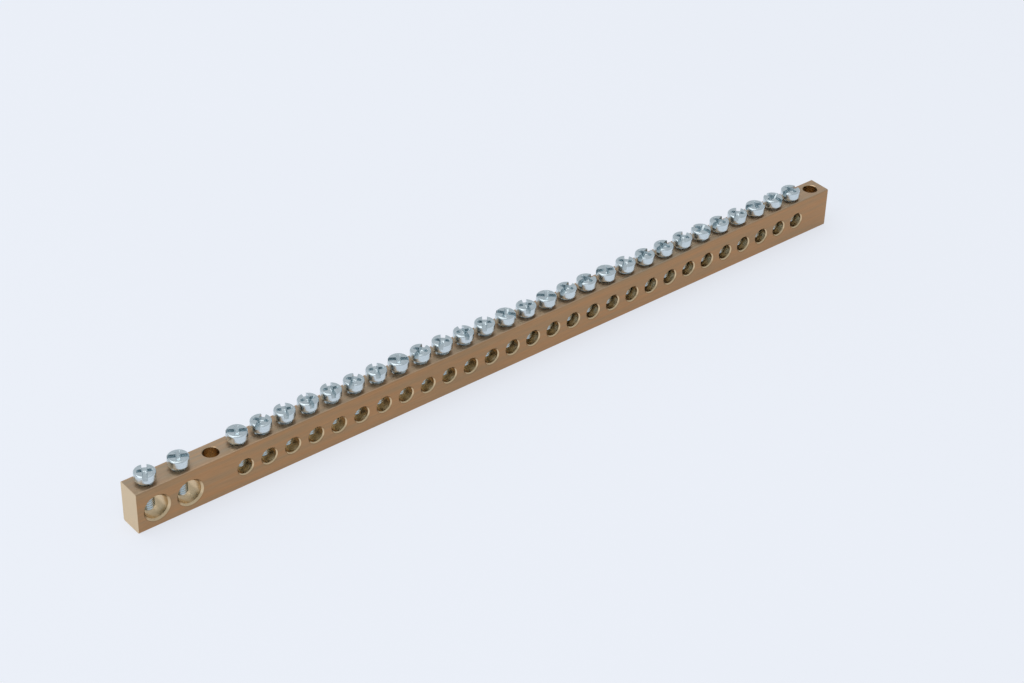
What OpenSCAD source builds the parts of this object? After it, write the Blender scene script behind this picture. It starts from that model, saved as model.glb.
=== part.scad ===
// Earth terminal bar for a distribution board.
// One drawn brass bar is cross-drilled from front to back for the earth conductors, and is
// tapped from its top face for one clamping screw above each cable hole. Two larger cable
// holes take the main earth, a row of smaller ones takes the circuits, and two plain
// vertical holes fix the bar down.
// The bar stands on its narrow underside. The origin is the middle of that face, +X runs
// along the bar away from the main terminals, +Y to the back and +Z up.

/* [Bar] */
// Thickness of the bar from front to back
bar_w = 7.4; // [6.8:0.1:10]
// Height of the bar
bar_h = 12.7; // [12.2:0.1:16]
// Radius along the four long edges of the drawn section
bar_edge_r = 0.4; // [0.1:0.05:0.8]

/* [Layout along the bar] */
// From the left end to the first main cable hole
end_to_main = 6; // [5:0.5:12]
// Spacing of the main cable holes
main_pitch = 10; // [9:0.5:16]
// From the last main cable hole to the left fixing hole
main_to_fix = 8.8; // [7.6:0.1:16]
// From the left fixing hole to the first circuit hole
fix_to_way = 8.2; // [7:0.1:16]
// Spacing of the circuit holes
way_pitch = 7.5; // [6.5:0.1:10]
// From the last circuit hole to the right fixing hole
way_to_fix = 8.8; // [7:0.1:16]
// From the right fixing hole to the right end
fix_to_end = 4.2; // [3.6:0.1:12]
// Number of main cable holes
main_count = 2; // [1:1:4]
// Number of circuit cable holes
way_count = 28; // [4:1:40]

/* [Cable holes] */
// Diameter of a main cable hole
main_bore_d = 7; // [5:0.1:7.2]
// Metal left above a main cable hole, which carries the screw's thread
main_roof = 3.5; // [3:0.1:3.8]
// Width of the bevel round a main cable hole's mouths
main_mouth = 0.65; // [0.2:0.05:0.8]
// How far a main screw's axis lies from its cable hole's axis, along the bar
main_screw_shift = -0.9; // [-1:0.1:1]
// Diameter of a circuit cable hole
way_bore_d = 4.5; // [3.8:0.1:5]
// Metal left above a circuit cable hole, which carries the screw's thread
way_roof = 4.3; // [3.5:0.1:5]
// Width of the bevel round a circuit cable hole's mouths
way_mouth = 0.45; // [0.1:0.05:0.6]

/* [Fixing holes] */
// Diameter of the two vertical fixing holes
fix_d = 4.5; // [3:0.1:5]
// Width of the bevel round a fixing hole's mouths
fix_mouth = 0.2; // [0.05:0.05:0.5]

/* [Clamping screws] */
// Outside diameter of the screw's thread
screw_d = 4; // [3:0.1:4.5]
// Gap left all round between the screw and its tapped hole
thread_clear = 0.05; // [0.02:0.01:0.1]
// Width of the bevel where a tapped hole opens on the top face
tap_mouth = 0.3; // [0.1:0.05:0.4]
// Height of a main screw's head above the bar when its tip meets the cable hole's wall
main_stop = 0; // [0:0.05:0.8]
// Height of a circuit screw's head above the bar when its tip meets the cable hole's wall
way_stop = 0.5; // [0.1:0.05:0.55]
// Width of the bevel at the screw's tip
tip_bevel = 0.8; // [0.2:0.05:0.9]
// Diameter of the head
head_d = 5.9; // [5.2:0.1:6.3]
// Height of the head
head_h = 2.4; // [2.1:0.1:3.5]
// Rounding of the head's top edge
head_round = 0.45; // [0.1:0.05:0.8]
// Rounding of the head's lower edge
head_foot_round = 0.15; // [0.05:0.05:0.3]

/* [Drive recess] */
// Width of the straight slot
slot_w = 1.3; // [0.8:0.1:1.6]
// Depth of the straight slot
slot_depth = 1.3; // [0.8:0.1:1.5]
// Span of the cross recess at the top of the head
cross_d = 4.2; // [3:0.1:4.6]
// Width of each arm of the cross recess
cross_arm_w = 1.1; // [0.6:0.1:1.4]
// Span of the cross recess at its floor
cross_floor_d = 2.2; // [1.6:0.1:2.6]
// Depth of the cross recess
cross_depth = 1.7; // [1:0.1:1.8]

/* [Hidden] */
// How far a cutting shape runs past the face that it opens through
cut_over = 1;
// How far the shank's solid runs up into the head that it is one piece with
shank_root = 0.3;
// Segments round a full circle
$fn = 64;

// Each screw's turn about its axis in degrees, as it was left when it was last tightened
main_turn = [62, 151];
way_turn = [
    149, 40, 66, 78, 70, 42, 65, 146, 31, 46, 74, 52, 128, 64,
    140, 25, 10, 155, 42, 20, 15, 34, 110, 18, 40, 160, 100, 5
];
// How far each head stands above the bar's top face
main_lift = [0.9, 0.95];
way_lift = [
    0.9, 0.95, 1.1, 1.1, 1.2, 1.0, 1.15, 1.2, 1.15, 1.1, 1.1, 1.0, 0.95, 0.7,
    0.85, 0.7, 0.6, 0.65, 0.8, 0.6, 0.6, 0.7, 0.65, 0.6, 0.65, 0.6, 0.6, 0.6
];

// Lengths that follow from the layout
mains_l = end_to_main + (main_count - 1) * main_pitch;
ways_l = fix_to_way + (way_count - 1) * way_pitch;
bar_l = mains_l + main_to_fix + ways_l + way_to_fix + fix_to_end;

// Places along the bar, measured from its middle
left_end = -bar_l / 2;
fix_left_x = left_end + mains_l + main_to_fix;
fix_right_x = left_end + bar_l - fix_to_end;
function main_x(i) = left_end + end_to_main + i * main_pitch;
function way_x(i) = fix_left_x + fix_to_way + i * way_pitch;

// Heights of the cable holes' axes above the underside
main_bore_z = bar_h - main_roof - main_bore_d / 2;
way_bore_z = bar_h - way_roof - way_bore_d / 2;

// Length of a screw under its head. The bevel at its tip meets the round wall of the cable hole
// where that wall has come in to the screw's side, and the head then stands at the stop.
function screw_length(roof, bore_d, shift, stop) =
    let(reach = screw_d / 2 + abs(shift))
    let(wall_below = sqrt(max(0, pow(bore_d / 2, 2) - pow(reach, 2))))
    roof + bore_d / 2 + wall_below + tip_bevel + stop;
main_screw_l = screw_length(main_roof, main_bore_d, main_screw_shift, main_stop);
way_screw_l = screw_length(way_roof, way_bore_d, 0, way_stop);
tap_d = screw_d + 2 * thread_clear;

// Takes a list's values in turn, and starts again when it runs out
function in_turn(list, i) = list[i % len(list)];

function main_name(i) = str("main_screw_", i + 1);
function way_name(i) = str("way_screw_", i < 9 ? "0" : "", i + 1);

// The drawn section: a rectangle with its four corners rounded, standing on its lower edge
module bar_section() {
    inner_w = bar_w - 2 * bar_edge_r;
    inner_h = bar_h - 2 * bar_edge_r;
    translate([-inner_w / 2, 0]) square([inner_w, bar_h]);
    translate([-bar_w / 2, bar_edge_r]) square([bar_w, inner_h]);
    for (side = [-1, 1])
        for (z = [bar_edge_r, bar_h - bar_edge_r])
            translate([side * inner_w / 2, z]) circle(r = bar_edge_r);
}

// A bevelled mouth, opening upwards at z = 0, for a hole of diameter d
module mouth(d, bevel) {
    translate([0, 0, -bevel])
        cylinder(h = bevel + cut_over, d1 = d, d2 = d + 2 * (bevel + cut_over));
}

// A hole through the bar from front to back, bevelled at both faces
module cable_hole(d, bevel) {
    rotate([90, 0, 0]) cylinder(h = bar_w + 2 * cut_over, d = d, center = true);
    for (face = [0, 180])
        rotate([90, 0, face]) translate([0, 0, bar_w / 2]) mouth(d, bevel);
}

// A tapped hole from the top face down into the cable hole, without its fine thread
module tapped_hole(bore_z) {
    translate([0, 0, bore_z]) cylinder(h = bar_h - bore_z + cut_over, d = tap_d);
    translate([0, 0, bar_h]) mouth(tap_d, tap_mouth);
}

// A terminal is one cable hole with the screw's tapped hole above it
module terminal_cut(bore_z, d, bevel, screw_shift) {
    translate([0, 0, bore_z]) cable_hole(d, bevel);
    translate([screw_shift, 0, 0]) tapped_hole(bore_z);
}

// A plain hole from the top face to the underside
module fixing_hole() {
    translate([0, 0, -cut_over]) cylinder(h = bar_h + 2 * cut_over, d = fix_d);
    translate([0, 0, bar_h]) mouth(fix_d, fix_mouth);
    mirror([0, 0, 1]) mouth(fix_d, fix_mouth);
}

module bar() {
    color("#B08A5C")
    difference() {
        translate([left_end, 0, 0])
            rotate([90, 0, 90]) linear_extrude(bar_l) bar_section();
        for (i = [0:main_count - 1])
            translate([main_x(i), 0, 0])
                terminal_cut(main_bore_z, main_bore_d, main_mouth, main_screw_shift);
        for (i = [0:way_count - 1])
            translate([way_x(i), 0, 0])
                terminal_cut(way_bore_z, way_bore_d, way_mouth, 0);
        for (x = [fix_left_x, fix_right_x])
            translate([x, 0, 0]) fixing_hole();
    }
}

// The head's outline, turned about z: upright sides with a rounded top and foot
module head_profile() {
    head_r = head_d / 2;
    square([head_r - head_round, head_h]);
    translate([0, head_foot_round])
        square([head_r, head_h - head_round - head_foot_round]);
    square([head_r - head_foot_round, head_h - head_round]);
    translate([head_r - head_round, head_h - head_round]) circle(r = head_round);
    translate([head_r - head_foot_round, head_foot_round]) circle(r = head_foot_round);
}

// The slot runs right across the head and out through its sides
module slot() {
    translate([-head_d / 2 - cut_over, -slot_w / 2, head_h - slot_depth])
        cube([head_d + 2 * cut_over, slot_w, slot_depth + cut_over]);
}

// The cross recess: two crossed arms cut from a cone that narrows downwards
module cross_recess() {
    slope = (cross_d - cross_floor_d) / cross_depth;
    arm_l = cross_d + 2 * slope * cut_over;
    translate([0, 0, head_h - cross_depth])
        intersection() {
            cylinder(
                h = cross_depth + cut_over,
                d1 = cross_floor_d,
                d2 = cross_d + slope * cut_over
            );
            for (turn = [0, 90])
                rotate([0, 0, turn])
                    translate([-arm_l / 2, -cross_arm_w / 2, 0])
                        cube([arm_l, cross_arm_w, cross_depth + cut_over]);
        }
}

// The screw stands with its head's underside at z = 0, and its shank hangs below
module clamping_screw(length, turn) {
    color("#C9CFD2")
    rotate([0, 0, turn])
        difference() {
            union() {
                rotate_extrude() head_profile();
                translate([0, 0, tip_bevel - length])
                    cylinder(h = length - tip_bevel + shank_root, d = screw_d);
                translate([0, 0, -length])
                    cylinder(h = tip_bevel, d1 = screw_d - 2 * tip_bevel, d2 = screw_d);
            }
            slot();
            cross_recess();
        }
}

module main_screw(i) {
    translate([main_x(i) + main_screw_shift, 0, bar_h + in_turn(main_lift, i)])
        clamping_screw(main_screw_l, in_turn(main_turn, i));
}

module way_screw(i) {
    translate([way_x(i), 0, bar_h + in_turn(way_lift, i)])
        clamping_screw(way_screw_l, in_turn(way_turn, i));
}

bar();
for (i = [0:main_count - 1])
    main_screw(i);
for (i = [0:way_count - 1])
    way_screw(i);
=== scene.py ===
"""Looks of an earth terminal bar: a drawn brass bar, its plated clamping screws and a pale floor."""

import math

import bmesh
import bpy
import numpy as np
from bpy.props import FloatProperty, FloatVectorProperty, PointerProperty
from mathutils import Matrix, Vector


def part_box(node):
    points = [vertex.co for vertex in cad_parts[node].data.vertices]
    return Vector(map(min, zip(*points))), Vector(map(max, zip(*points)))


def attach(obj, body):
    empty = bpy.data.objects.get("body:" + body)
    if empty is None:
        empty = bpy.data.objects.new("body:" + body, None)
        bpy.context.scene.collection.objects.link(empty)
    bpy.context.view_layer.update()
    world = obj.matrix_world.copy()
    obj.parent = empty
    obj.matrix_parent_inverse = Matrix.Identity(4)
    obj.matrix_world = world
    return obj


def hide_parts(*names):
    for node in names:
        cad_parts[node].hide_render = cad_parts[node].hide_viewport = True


bl_info = {
    "name": "Earth terminal bar",
    "version": (1, 0, 0),
    "blender": (4, 5, 0),
    "location": "View3D > Sidebar > Terminal bar",
    "description": "Dresses a brass terminal bar and its plated clamping screws",
    "category": "Object",
}

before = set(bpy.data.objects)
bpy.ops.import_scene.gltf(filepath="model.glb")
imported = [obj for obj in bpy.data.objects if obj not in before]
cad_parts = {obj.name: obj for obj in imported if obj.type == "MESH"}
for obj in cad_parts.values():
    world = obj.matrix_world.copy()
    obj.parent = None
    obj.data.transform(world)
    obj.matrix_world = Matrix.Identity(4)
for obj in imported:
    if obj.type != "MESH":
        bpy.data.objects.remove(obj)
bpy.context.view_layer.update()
BAR = "bar"
SCREWS = sorted(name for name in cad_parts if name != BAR)
MM = 0.001
TURN = 2 * math.pi

# Points round a screw's shank
SHANK_POINTS = 48

# Each screw's turn about its axis in degrees, in the order of the screws along the bar
MAIN_TURNS = [62, 151]
WAY_TURNS = [
    149, 40, 66, 78, 70, 42, 65, 146, 31, 46, 74, 52, 128, 64,
    140, 25, 10, 155, 42, 20, 15, 34, 110, 18, 40, 160, 100, 5,
]

# The camera's place in millimetres, its line of sight and its right-hand side
CAMERA_PLACE = (-340.884, -409.040, 378.134)
CAMERA_AHEAD = (0.525887, 0.628406, -0.573192)
CAMERA_RIGHT = (0.776901, -0.629203, 0.022972)

# Each lamp's name, place in metres, width in metres and power in watts
LAMPS = (
    ("softbox_above", (-0.45, 0.25, 1.55), 1.5, 8.0),
    ("softbox_left", (-1.3, -0.1, 0.5), 0.8, 2.0),
)


# ---------------------------------------------------------------- sizes and colours


def size(name, description, value):
    """A length that a user may change, given here in millimetres."""
    return FloatProperty(name=name, description=description, default=value * MM, unit="LENGTH", precision=5)


def colour(name, description, value):
    """A colour that a user may change."""
    return FloatVectorProperty(
        name=name, description=description, default=value, subtype="COLOR", size=3, min=0, max=1
    )


class ScrewLook(bpy.types.PropertyGroup):
    """Sizes and finish of the clamping screws. Their places and overall sizes come from the frame."""

    head_height: size("Head height", "From the head's underside to its top", 2.4)
    rim_round: size("Rim round", "Radius of the head's upper edge", 0.45)
    foot_round: size("Foot round", "Radius of the head's lower edge", 0.15)
    slot_width: size("Slot width", "Width of the slot across the head", 1.3)
    slot_depth: size("Slot depth", "Depth of the slot below the head's top", 1.3)
    arm_width: size("Cross arm width", "Width of the cross recess's arms", 1.1)
    cross_radius: size("Cross radius", "Reach of the cross recess at the head's top", 2.1)
    cross_floor_radius: size("Cross floor radius", "Reach of the cross recess at its floor", 1.1)
    cross_depth: size("Cross depth", "Depth of the cross recess", 1.7)
    wall_width: size("Wall width", "How far a recess wall leans over its height", 0.1)
    thread_pitch: size("Thread pitch", "Rise of the thread in one turn", 0.7)
    thread_radius: size("Thread radius", "Radius over the thread's crests", 2.0)
    thread_depth: size("Thread depth", "From the thread's crests to its roots", 0.43)
    tip_bevel: size("Tip bevel", "Bevel at the end of the shank", 0.8)
    tip_dimple: size("Tip dimple", "Depth of the shallow cone in the shank's end", 0.06)
    zinc: colour("Zinc", "Bright zinc plate", (0.68, 0.76, 0.79))


class BarLook(bpy.types.PropertyGroup):
    """Finish of the brass bar."""

    drawn: colour("Drawn face", "The drawn brass of the long faces", (0.40, 0.245, 0.125))
    # Painted light: the top colour is lighter than the drawn colour, standing in for the brighter light that
    # the top face reflects.
    top: colour("Top face", "The brushed top face", (0.55, 0.40, 0.26))
    cut: colour("Cut end", "Freshly cut brass at the ends", (0.76, 0.58, 0.36))
    drilled: colour("Drilled wall", "Clean brass in the holes", (0.76, 0.58, 0.36))


class StageLook(bpy.types.PropertyGroup):
    """The floor, the lights and the camera."""

    floor: colour("Floor", "The pale floor", (0.88, 0.91, 0.975))
    reach: FloatProperty(
        name="Reach", description="From the middle of the floor to its edge", default=6.0, unit="LENGTH"
    )
    sky: colour("Sky", "The light from all round", (0.90, 0.95, 1.0))
    sky_strength: FloatProperty(name="Sky strength", description="Brightness of that light", default=0.62)
    lens: FloatProperty(name="Lens", description="Focal length of the camera", default=80.42, unit="CAMERA")


# ---------------------------------------------------------------- shapes


def ease(t):
    """Runs from 0 to 1 with level ends: 3 t^2 - 2 t^3, with t held between 0 and 1."""
    t = np.clip(t, 0.0, 1.0)
    return t * t * (3.0 - 2.0 * t)


def recess_depth(x, y, look):
    """How far the drive recess lies below the head's flat top at each point (x, y).

    The slot is the band |y| < slot_width / 2, at one depth. The cross is the two bands where
    |x| or |y| is under arm_width / 2, as deep as a cone that reaches the top at cross_radius.
    The wall of each band is an ease curve, wall_width across.
    """
    beside_slot = (np.abs(y) - look.slot_width / 2) / look.wall_width + 0.5
    beside_arm = (np.minimum(np.abs(x), np.abs(y)) - look.arm_width / 2) / look.wall_width + 0.5
    reach = look.cross_radius - look.cross_floor_radius
    cone = np.clip((look.cross_radius - np.hypot(x, y)) / reach, 0, 1)
    slot = look.slot_depth * (1 - ease(beside_slot))
    return np.maximum(slot, look.cross_depth * (1 - ease(beside_arm)) * cone)


def head_lines(look, half):
    """Grid lines from -half to half, close together where the recess has its walls."""
    steps = np.linspace(-0.5, 0.5, 5) * look.wall_width
    arm, slot = look.arm_width / 2, look.slot_width / 2
    inner = np.linspace(0, arm + steps[0], 4)
    outer = np.linspace(slot + steps[-1], half, 7)
    line = np.unique(np.round(np.concatenate([inner, arm + steps, slot + steps, outer]), 8))
    return np.concatenate([-line[:0:-1], line])


def grid_quads(start, rows, cols):
    """Quads of a grid of points that is stored row by row from index start."""
    i, j = np.meshgrid(np.arange(rows - 1), np.arange(cols - 1), indexing="ij")
    a = (start + i * cols + j).ravel()
    return np.stack([a, a + 1, a + cols + 1, a + cols], axis=1)


def zip_rings(outer, inner, outer_angle, inner_angle):
    """Triangles between two rings with different counts of points, both in rising angle.

    Each edge of one ring is joined to the point of the other ring that comes last before its end.
    """
    n, m = len(outer), len(inner)
    outer_end = np.append(outer_angle[1:], outer_angle[0] + TURN)
    inner_end = np.append(inner_angle[1:], inner_angle[0] + TURN)
    in_passed = (np.searchsorted(inner_angle, outer_end) - 1) % m
    out_passed = (np.searchsorted(outer_angle, inner_end, side="right") - 1) % n
    from_outer = np.stack([np.roll(outer, -1), outer, inner[in_passed]], axis=1)
    from_inner = np.stack([inner, np.roll(inner, -1), outer[out_passed]], axis=1)
    return np.concatenate([from_outer, from_inner])


class Shell:
    """Points and faces of one closed surface, gathered from several grids."""

    def __init__(self):
        self.points = []
        self.faces = []
        self.count = 0

    def add(self, points):
        """Adds points and returns the index of the first one."""
        points = np.asarray(points, float).reshape(-1, 3)
        first = self.count
        self.points.append(points)
        self.count += len(points)
        return first

    def add_grid(self, grid, flip=False):
        """Adds a grid of points, shaped rows x cols x 3, with its quads."""
        rows, cols = grid.shape[:2]
        quads = grid_quads(self.add(grid), rows, cols)
        self.faces += (quads[:, ::-1] if flip else quads).tolist()

    def build(self, name, weld):
        """Makes a mesh, with points closer than weld merged and empty faces removed."""
        mesh = bpy.data.meshes.new(name)
        mesh.from_pydata(np.concatenate(self.points), [], self.faces)
        shape = bmesh.new()
        shape.from_mesh(mesh)
        bmesh.ops.remove_doubles(shape, verts=shape.verts, dist=weld)
        bmesh.ops.dissolve_degenerate(shape, edges=shape.edges, dist=weld)
        shape.to_mesh(mesh)
        shape.free()
        return mesh


def head_top(shell, look, flat_radius):
    """The head's flat top with its recess, as heights over a disc, and the angles of its edge points.

    The disc is a square grid and four bands. A band's lines run on from the square's lines to the
    circle x^2 + y^2 = flat_radius^2, so that the recess walls stay straight and sharp.
    """
    half = flat_radius / math.sqrt(2)
    lines = head_lines(look, half)

    def lifted(x, y):
        return np.stack([x, y, look.head_height - recess_depth(x, y, look)], axis=-1)

    y, x = np.meshgrid(lines, lines, indexing="ij")
    shell.add_grid(lifted(x, y))
    share = np.linspace(0, 1, 7)
    band_y = np.repeat(lines[:, None], len(share), axis=1)
    edge_x = np.sqrt(flat_radius**2 - band_y**2)
    band_x = half + share * (edge_x - half)
    for x, y in ((band_x, band_y), (-band_y, band_x), (-band_x, -band_y), (band_y, -band_x)):
        shell.add_grid(lifted(x, y))
    quarter = np.arctan2(band_y[:-1, -1], edge_x[:-1, -1])
    return np.concatenate([quarter + k * math.pi / 2 for k in range(4)])


def head_side(shell, look, head_radius, angles):
    """The rounded rim, the upright side and the rounded foot: an outline turned about the axis.

    Where the slot runs out through the side, the outline is held below the slot's floor.
    """
    arc = np.linspace(0, math.pi / 2, 7)
    rim_r = head_radius - look.rim_round + look.rim_round * np.sin(arc)
    rim_z = look.head_height - look.rim_round + look.rim_round * np.cos(arc)
    foot = arc[::2]
    foot_r = head_radius - look.foot_round + look.foot_round * np.cos(foot)
    foot_z = look.foot_round - look.foot_round * np.sin(foot)
    side_z = np.linspace(rim_z[-1], foot_z[0], 6)[1:-1]
    r = np.concatenate([rim_r, np.full(len(side_z), head_radius), foot_r])
    z = np.concatenate([rim_z, side_z, foot_z])
    around = np.append(angles, angles[0] + TURN)
    x, y = r[:, None] * np.cos(around), r[:, None] * np.sin(around)
    held = np.minimum(z[:, None], look.head_height - recess_depth(x, y, look))
    shell.add_grid(np.stack([x, y, held], axis=-1), flip=True)
    return r[-1]


def threaded_shank(shell, look, length):
    """The threaded shank below z = 0, as one strip that winds round the axis.

    Each row follows the thread, z = row + pitch x turn / 360, so crests and roots are smooth lines.
    The radius steps between crest and root, fades to the root below the head, and is held inside
    a cone at the tip, whose flat end has a shallow dimple.
    """
    turn = np.linspace(0, 1, SHANK_POINTS + 1)
    steps = np.array([0, 1, 4, 7, 8, 9, 12, 15]) / 16
    depths = np.array([0, 0, 0.5, 1, 1, 1, 0.5, 0])
    turns = math.ceil(length / look.thread_pitch) + 1
    rise = (np.arange(turns)[:, None] + steps).ravel()
    depth = np.tile(depths, turns)[:, None]
    z = -length + (rise[:, None] - 1 + turn) * look.thread_pitch
    run_out = 1 - ease((-look.foot_round * 2 - z) / look.thread_pitch)
    z = np.clip(z, -length, 0)
    root = look.thread_radius - look.thread_depth
    tip = look.thread_radius - look.tip_bevel
    cut = np.maximum(depth, run_out)
    r = look.thread_radius - look.thread_depth * cut
    r = np.minimum(r, np.maximum(tip + (z + length), tip))
    r[z >= 0] = root
    r[z <= -length] = tip
    angle = turn * TURN
    shell.add_grid(np.stack([r * np.cos(angle), r * np.sin(angle), z], axis=-1))
    ring = np.stack([tip * np.cos(angle), tip * np.sin(angle), np.full(len(angle), -length)], axis=-1)
    centre = np.zeros_like(ring) + [0, 0, -length + look.tip_dimple]
    shell.add_grid(np.stack([centre, ring]))
    return root, angle[:-1]


def screw_mesh(name, look, head_radius, length):
    """One clamping screw, standing with its head's underside at z = 0 and its slot along x."""
    shell = Shell()
    angles = head_top(shell, look, head_radius - look.rim_round)
    foot_radius = head_side(shell, look, head_radius, angles)
    root, ring_angle = threaded_shank(shell, look, length)
    outer_angle = np.sort(angles % TURN)

    def flat_ring(radius, angle):
        return np.stack([radius * np.cos(angle), radius * np.sin(angle), np.zeros(len(angle))], axis=-1)

    outer = shell.add(flat_ring(foot_radius, outer_angle)) + np.arange(len(outer_angle))
    inner = shell.add(flat_ring(root, ring_angle)) + np.arange(len(ring_angle))
    shell.faces += zip_rings(outer, inner, outer_angle, ring_angle).tolist()
    return shell.build(name, weld=0.002 * MM)


# ---------------------------------------------------------------- materials


def value_socket(group, name, kind, output=False, default=None):
    """Adds one named input or output to a node group."""
    socket = group.interface.new_socket(
        name=name, in_out="OUTPUT" if output else "INPUT", socket_type=kind
    )
    if default is not None:
        socket.default_value = default
    return socket


class Nodes:
    """Short ways to add and join shader nodes in one tree."""

    def __init__(self, tree):
        self.tree = tree

    def add(self, kind, settings=None, **inputs):
        """Adds a node, sets its properties, and sets or links its inputs by name."""
        node = self.tree.nodes.new(kind)
        for key, value in (settings or {}).items():
            setattr(node, key, value)
        for key, value in inputs.items():
            self.put(node.inputs[key.replace("_", " ")], value)
        return node

    def put(self, socket, value):
        """Links an output to a socket, or sets the socket's own value."""
        if isinstance(value, bpy.types.NodeSocket):
            self.tree.links.new(value, socket)
        else:
            socket.default_value = value

    def math(self, operation, *values):
        """A Math node's output."""
        node = self.tree.nodes.new("ShaderNodeMath")
        node.operation = operation
        for socket, value in zip(node.inputs, values):
            self.put(socket, value)
        return node.outputs[0]

    def mix(self, factor, a, b, blend="MIX"):
        """A colour mix's output."""
        node = self.tree.nodes.new("ShaderNodeMix")
        node.data_type = "RGBA"
        node.blend_type = blend
        self.put(node.inputs[0], factor)
        self.put(node.inputs[6], a)
        self.put(node.inputs[7], b)
        return node.outputs[2]

    def noise(self, vector, scale, detail=2.0, roughness=0.5):
        """A noise texture's value, at so many waves a millimetre."""
        return self.add(
            "ShaderNodeTexNoise", {"noise_dimensions": "3D"}, Vector=vector, Scale=scale, Detail=detail,
            Roughness=roughness,
        ).outputs["Fac"]

    def stretch(self, vector, factors):
        """A vector with its parts multiplied by factors."""
        return self.add("ShaderNodeMapping", {"vector_type": "POINT"}, Vector=vector, Scale=factors).outputs[0]

    def ramp(self, value, low, high, to_low=0.0, to_high=1.0):
        """A value brought from one range to another and held there."""
        node = self.tree.nodes.new("ShaderNodeMapRange")
        for socket, number in zip(node.inputs, (value, low, high, to_low, to_high)):
            self.put(socket, number)
        return node.outputs[0]


def streak_group():
    """Node group: fine lines that run along x, as drawing and brushing leave them."""
    group = bpy.data.node_groups.new("Drawn streaks", "ShaderNodeTree")
    value_socket(group, "Vector", "NodeSocketVector")
    value_socket(group, "Fineness", "NodeSocketFloat", default=12.0)
    value_socket(group, "Line", "NodeSocketFloat", output=True)
    value_socket(group, "Band", "NodeSocketFloat", output=True)
    make = Nodes(group)
    given = make.add("NodeGroupInput")
    out = make.add("NodeGroupOutput")
    along = make.stretch(given.outputs["Vector"], (0.02, 1.0, 1.0))
    fine = make.noise(along, given.outputs["Fineness"], 3.0, 0.6)
    broad = make.noise(make.stretch(given.outputs["Vector"], (0.03, 0.6, 0.6)), 1.0, 2.0, 0.5)
    make.put(out.inputs["Line"], fine)
    make.put(out.inputs["Band"], broad)
    return group


def new_material(name):
    """A material with an empty tree but for its output and its Principled shader."""
    material = bpy.data.materials.new(name)
    material.use_nodes = True
    material.node_tree.nodes.clear()
    make = Nodes(material.node_tree)
    shader = make.add("ShaderNodeBsdfPrincipled")
    out = make.add("ShaderNodeOutputMaterial")
    make.put(out.inputs["Surface"], shader.outputs["BSDF"])
    return material, make, shader


def in_millimetres(make):
    """Object coordinates in millimetres."""
    place = make.add("ShaderNodeTexCoord").outputs["Object"]
    return make.stretch(place, (1 / MM, 1 / MM, 1 / MM))


def rgba(colour_value):
    """A colour with full alpha."""
    return (*colour_value, 1.0)


def brass_material(look, streaks):
    """Brass in four zones: drawn long faces, a top face with painted light, sawn ends and drilled holes. The
    top's lighter colour stands in for the brighter light that the top face reflects.
    """
    material, make, shader = new_material("drawn_brass")
    high = Vector(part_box(BAR)[1]) / MM
    place = in_millimetres(make)
    x, y, z = make.add("ShaderNodeSeparateXYZ", Vector=place).outputs
    streak = make.add("ShaderNodeGroup")
    streak.node_tree = streaks
    make.put(streak.inputs["Vector"], place)
    line, band = streak.outputs["Line"], streak.outputs["Band"]
    # The skin is where the point lies on the drawn outline
    beside = make.math("SUBTRACT", high.y, make.math("ABSOLUTE", y))
    above = make.math("MINIMUM", make.math("SUBTRACT", high.z, z), z)
    under_skin = make.math("MINIMUM", beside, above)
    inside = make.ramp(under_skin, 0.10, 0.16)
    end = make.ramp(make.math("ABSOLUTE", x), high.x - 0.03, high.x - 0.01)
    # Painted light: the top face takes the lighter top colour in place of the brighter light that it reflects.
    top = make.ramp(z, high.z - 0.3, high.z - 0.02)
    skin = make.mix(top, rgba(look.drawn), rgba(look.top))
    tone = make.mix(make.ramp(band, 0.3, 0.7), (0.92, 0.97, 1.04, 1), (1.12, 1.0, 0.93, 1))
    skin = make.mix(1.0, skin, tone, "MULTIPLY")
    shade = make.ramp(line, 0.25, 0.75, 0.82, 1.14)
    skin = make.mix(1.0, skin, shade, "MULTIPLY")
    saw = make.noise(make.stretch(place, (1.0, 6.0, 0.35)), 2.0, 3.0, 0.6)
    cut = make.mix(make.ramp(saw, 0.3, 0.7), rgba(look.cut), rgba([c * 0.86 for c in look.cut]))
    drill = make.noise(make.stretch(place, (0.6, 5.0, 0.6)), 2.0, 2.0, 0.5)
    wall = make.mix(make.ramp(drill, 0.3, 0.7), rgba(look.drilled), rgba([c * 0.8 for c in look.drilled]))
    finish = make.mix(inside, skin, wall)
    finish = make.mix(end, finish, cut)
    make.put(shader.inputs["Base Color"], finish)
    rough = make.ramp(line, 0.3, 0.7, 0.34, 0.46)
    rough = make.math("ADD", rough, make.math("MULTIPLY", inside, -0.12))
    make.put(shader.inputs["Roughness"], rough)
    shader.inputs["Metallic"].default_value = 1.0
    height = make.math("ADD", make.math("MULTIPLY", line, 0.6), make.math("MULTIPLY", saw, end))
    bump = make.add("ShaderNodeBump", Height=height, Strength=0.35, Distance=0.02 * MM)
    make.put(shader.inputs["Normal"], bump.outputs[0])
    return material


def zinc_material(look):
    """Bright zinc plate: a fine grain and cloudy patches."""
    material, make, shader = new_material("zinc_plate")
    place = in_millimetres(make)
    cloud = make.noise(place, 0.9, 3.0, 0.6)
    grain = make.noise(place, 14.0, 2.0, 0.6)
    tone = make.mix(make.ramp(cloud, 0.35, 0.65), rgba([c * 0.9 for c in look.zinc]), rgba(look.zinc))
    shade = make.ramp(grain, 0.3, 0.7, 0.93, 1.03)
    make.put(shader.inputs["Base Color"], make.mix(1.0, tone, shade, "MULTIPLY"))
    make.put(shader.inputs["Roughness"], make.ramp(cloud, 0.3, 0.7, 0.20, 0.32))
    shader.inputs["Metallic"].default_value = 1.0
    height = make.math("ADD", make.math("MULTIPLY", grain, 0.5), cloud)
    bump = make.add("ShaderNodeBump", Height=height, Strength=0.5, Distance=0.03 * MM)
    make.put(shader.inputs["Normal"], bump.outputs[0])
    return material


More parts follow.
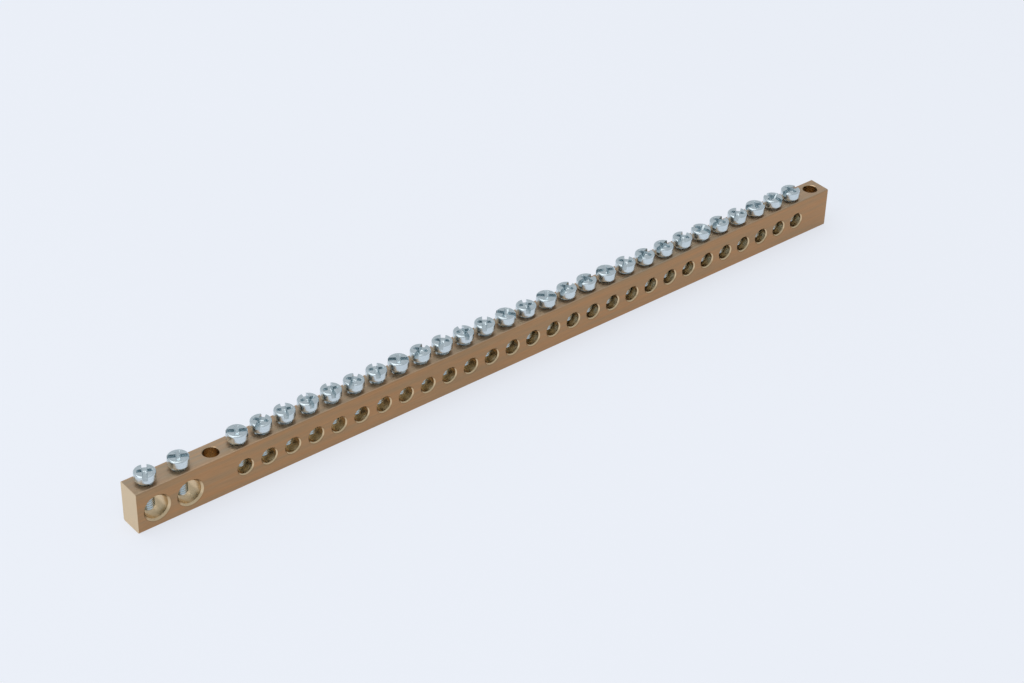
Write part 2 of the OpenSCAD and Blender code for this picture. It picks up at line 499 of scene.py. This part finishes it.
def floor_material(look):
    """Matt pale paper with a faint unevenness.

    To the camera and in reflections it adds its own light, so it stays pale under a faint shadow.
    All other rays meet the plain paper.
    """
    material, make, shader = new_material("pale_floor")
    place = in_millimetres(make)
    cloud = make.noise(place, 0.004, 2.0, 0.5)
    tone = make.mix(make.ramp(cloud, 0.2, 0.8), rgba([c * 0.985 for c in look.floor]), rgba(look.floor))
    make.put(shader.inputs["Base Color"], tone)
    seen = make.add("ShaderNodeBsdfPrincipled")
    make.put(seen.inputs["Base Color"], make.mix(1.0, tone, (0.3, 0.3, 0.3, 1), "MULTIPLY"))
    make.put(seen.inputs["Emission Color"], tone)
    seen.inputs["Emission Strength"].default_value = 0.7
    for one in (shader, seen):
        one.inputs["Roughness"].default_value = 0.9
        one.inputs["Specular IOR Level"].default_value = 0.0
    path = make.add("ShaderNodeLightPath").outputs
    share = make.math("MAXIMUM", path["Is Camera Ray"], path["Is Glossy Ray"])
    both = make.add("ShaderNodeMixShader", Fac=share)
    make.put(both.inputs[1], shader.outputs["BSDF"])
    make.put(both.inputs[2], seen.outputs["BSDF"])
    make.put(material.node_tree.nodes["Material Output"].inputs["Surface"], both.outputs[0])
    return material


# ---------------------------------------------------------------- operators


def show(name, mesh, material):
    """Links a finished mesh as an object at the origin."""
    piece = bpy.data.objects.new(name, mesh)
    bpy.context.scene.collection.objects.link(piece)
    mesh.materials.clear()
    mesh.materials.append(material)
    return piece


class TERMINALBAR_OT_bar(bpy.types.Operator):
    """Gives the bar its brass finishes"""

    bl_idname = "terminalbar.bar"
    bl_label = "Brass bar"

    def execute(self, context):
        material = brass_material(context.scene.bar_look, streak_group())
        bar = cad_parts[BAR]
        for place in bar.material_slots:
            place.material = material
        return {"FINISHED"}


class TERMINALBAR_OT_screws(bpy.types.Operator):
    """Builds the clamping screws in the places that the frame gives them"""

    bl_idname = "terminalbar.screws"
    bl_label = "Clamping screws"

    def execute(self, context):
        look = context.scene.screw_look
        material = zinc_material(look)
        turns = MAIN_TURNS + WAY_TURNS
        for name, turn in zip(SCREWS, turns, strict=True):
            low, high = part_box(name)
            radius = (high.x - low.x) / 2
            length = high.z - low.z - look.head_height
            mesh = screw_mesh(name + "_plated", look, radius, length)
            axis = Vector(((low.x + high.x) / 2, (low.y + high.y) / 2, high.z - look.head_height))
            mesh.transform(Matrix.Translation(axis) @ Matrix.Rotation(math.radians(turn), 4, "Z"))
            mesh.polygons.foreach_set("use_smooth", np.ones(len(mesh.polygons), bool))
            mesh.set_sharp_from_angle(angle=math.radians(38))
            piece = show(name + "_plated", mesh, material)
            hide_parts(name)
            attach(piece, name)
        return {"FINISHED"}


class TERMINALBAR_OT_stage(bpy.types.Operator):
    """Sets up the floor, the lights and the camera"""

    bl_idname = "terminalbar.stage"
    bl_label = "Stage"

    def execute(self, context):
        look = context.scene.stage_look
        scene = context.scene
        scene.view_settings.view_transform = "Standard"
        mesh = bpy.data.meshes.new("floor")
        corners = [(look.reach * x, look.reach * y, 0) for x, y in ((-1, -1), (1, -1), (1, 1), (-1, 1))]
        mesh.from_pydata(corners, [], [(0, 1, 2, 3)])
        show("floor", mesh, floor_material(look))

        world = bpy.data.worlds.new("studio")
        scene.world = world
        world.use_nodes = True
        back = world.node_tree.nodes["Background"]
        back.inputs["Color"].default_value = rgba(look.sky)
        back.inputs["Strength"].default_value = look.sky_strength

        for name, place, width, power in LAMPS:
            light = bpy.data.lights.new(name, "AREA")
            light.shape = "SQUARE"
            light.size = width
            light.energy = power
            lamp = bpy.data.objects.new(name, light)
            scene.collection.objects.link(lamp)
            lamp.location = place
            lamp.rotation_euler = (-Vector(place)).to_track_quat("-Z", "Y").to_euler()

        camera = bpy.data.cameras.new("camera")
        camera.sensor_width = 36.0
        camera.lens = look.lens
        camera.clip_start = 0.01
        eye = bpy.data.objects.new("camera", camera)
        scene.collection.objects.link(eye)
        ahead, right = Vector(CAMERA_AHEAD), Vector(CAMERA_RIGHT)
        turn = Matrix((right, right.cross(ahead), -ahead)).transposed()
        eye.matrix_world = Matrix.Translation(Vector(CAMERA_PLACE) * MM) @ turn.to_4x4()
        scene.camera = eye
        return {"FINISHED"}


class TERMINALBAR_PT_panel(bpy.types.Panel):
    """Lists the bar's pieces and their sizes and colours"""

    bl_label = "Terminal bar"
    bl_idname = "TERMINALBAR_PT_panel"
    bl_space_type = "VIEW_3D"
    bl_region_type = "UI"
    bl_category = "Terminal bar"

    def draw(self, context):
        for operator, look in (
            (TERMINALBAR_OT_bar, context.scene.bar_look),
            (TERMINALBAR_OT_screws, context.scene.screw_look),
            (TERMINALBAR_OT_stage, context.scene.stage_look),
        ):
            box = self.layout.box()
            box.operator(operator.bl_idname)
            for key in look.__annotations__:
                box.prop(look, key)


CLASSES = (
    ScrewLook,
    BarLook,
    StageLook,
    TERMINALBAR_OT_bar,
    TERMINALBAR_OT_screws,
    TERMINALBAR_OT_stage,
    TERMINALBAR_PT_panel,
)


def register():
    """Registers the classes and gives the scene their properties."""
    for cls in CLASSES:
        bpy.utils.register_class(cls)
    bpy.types.Scene.screw_look = PointerProperty(type=ScrewLook)
    bpy.types.Scene.bar_look = PointerProperty(type=BarLook)
    bpy.types.Scene.stage_look = PointerProperty(type=StageLook)


def unregister():
    """Takes back what register did."""
    del bpy.types.Scene.stage_look
    del bpy.types.Scene.bar_look
    del bpy.types.Scene.screw_look
    for cls in reversed(CLASSES):
        bpy.utils.unregister_class(cls)


def main():
    """Builds everything in order."""
    register()
    bpy.ops.terminalbar.bar()
    bpy.ops.terminalbar.screws()
    bpy.ops.terminalbar.stage()


if __name__ == "__main__":
    main()
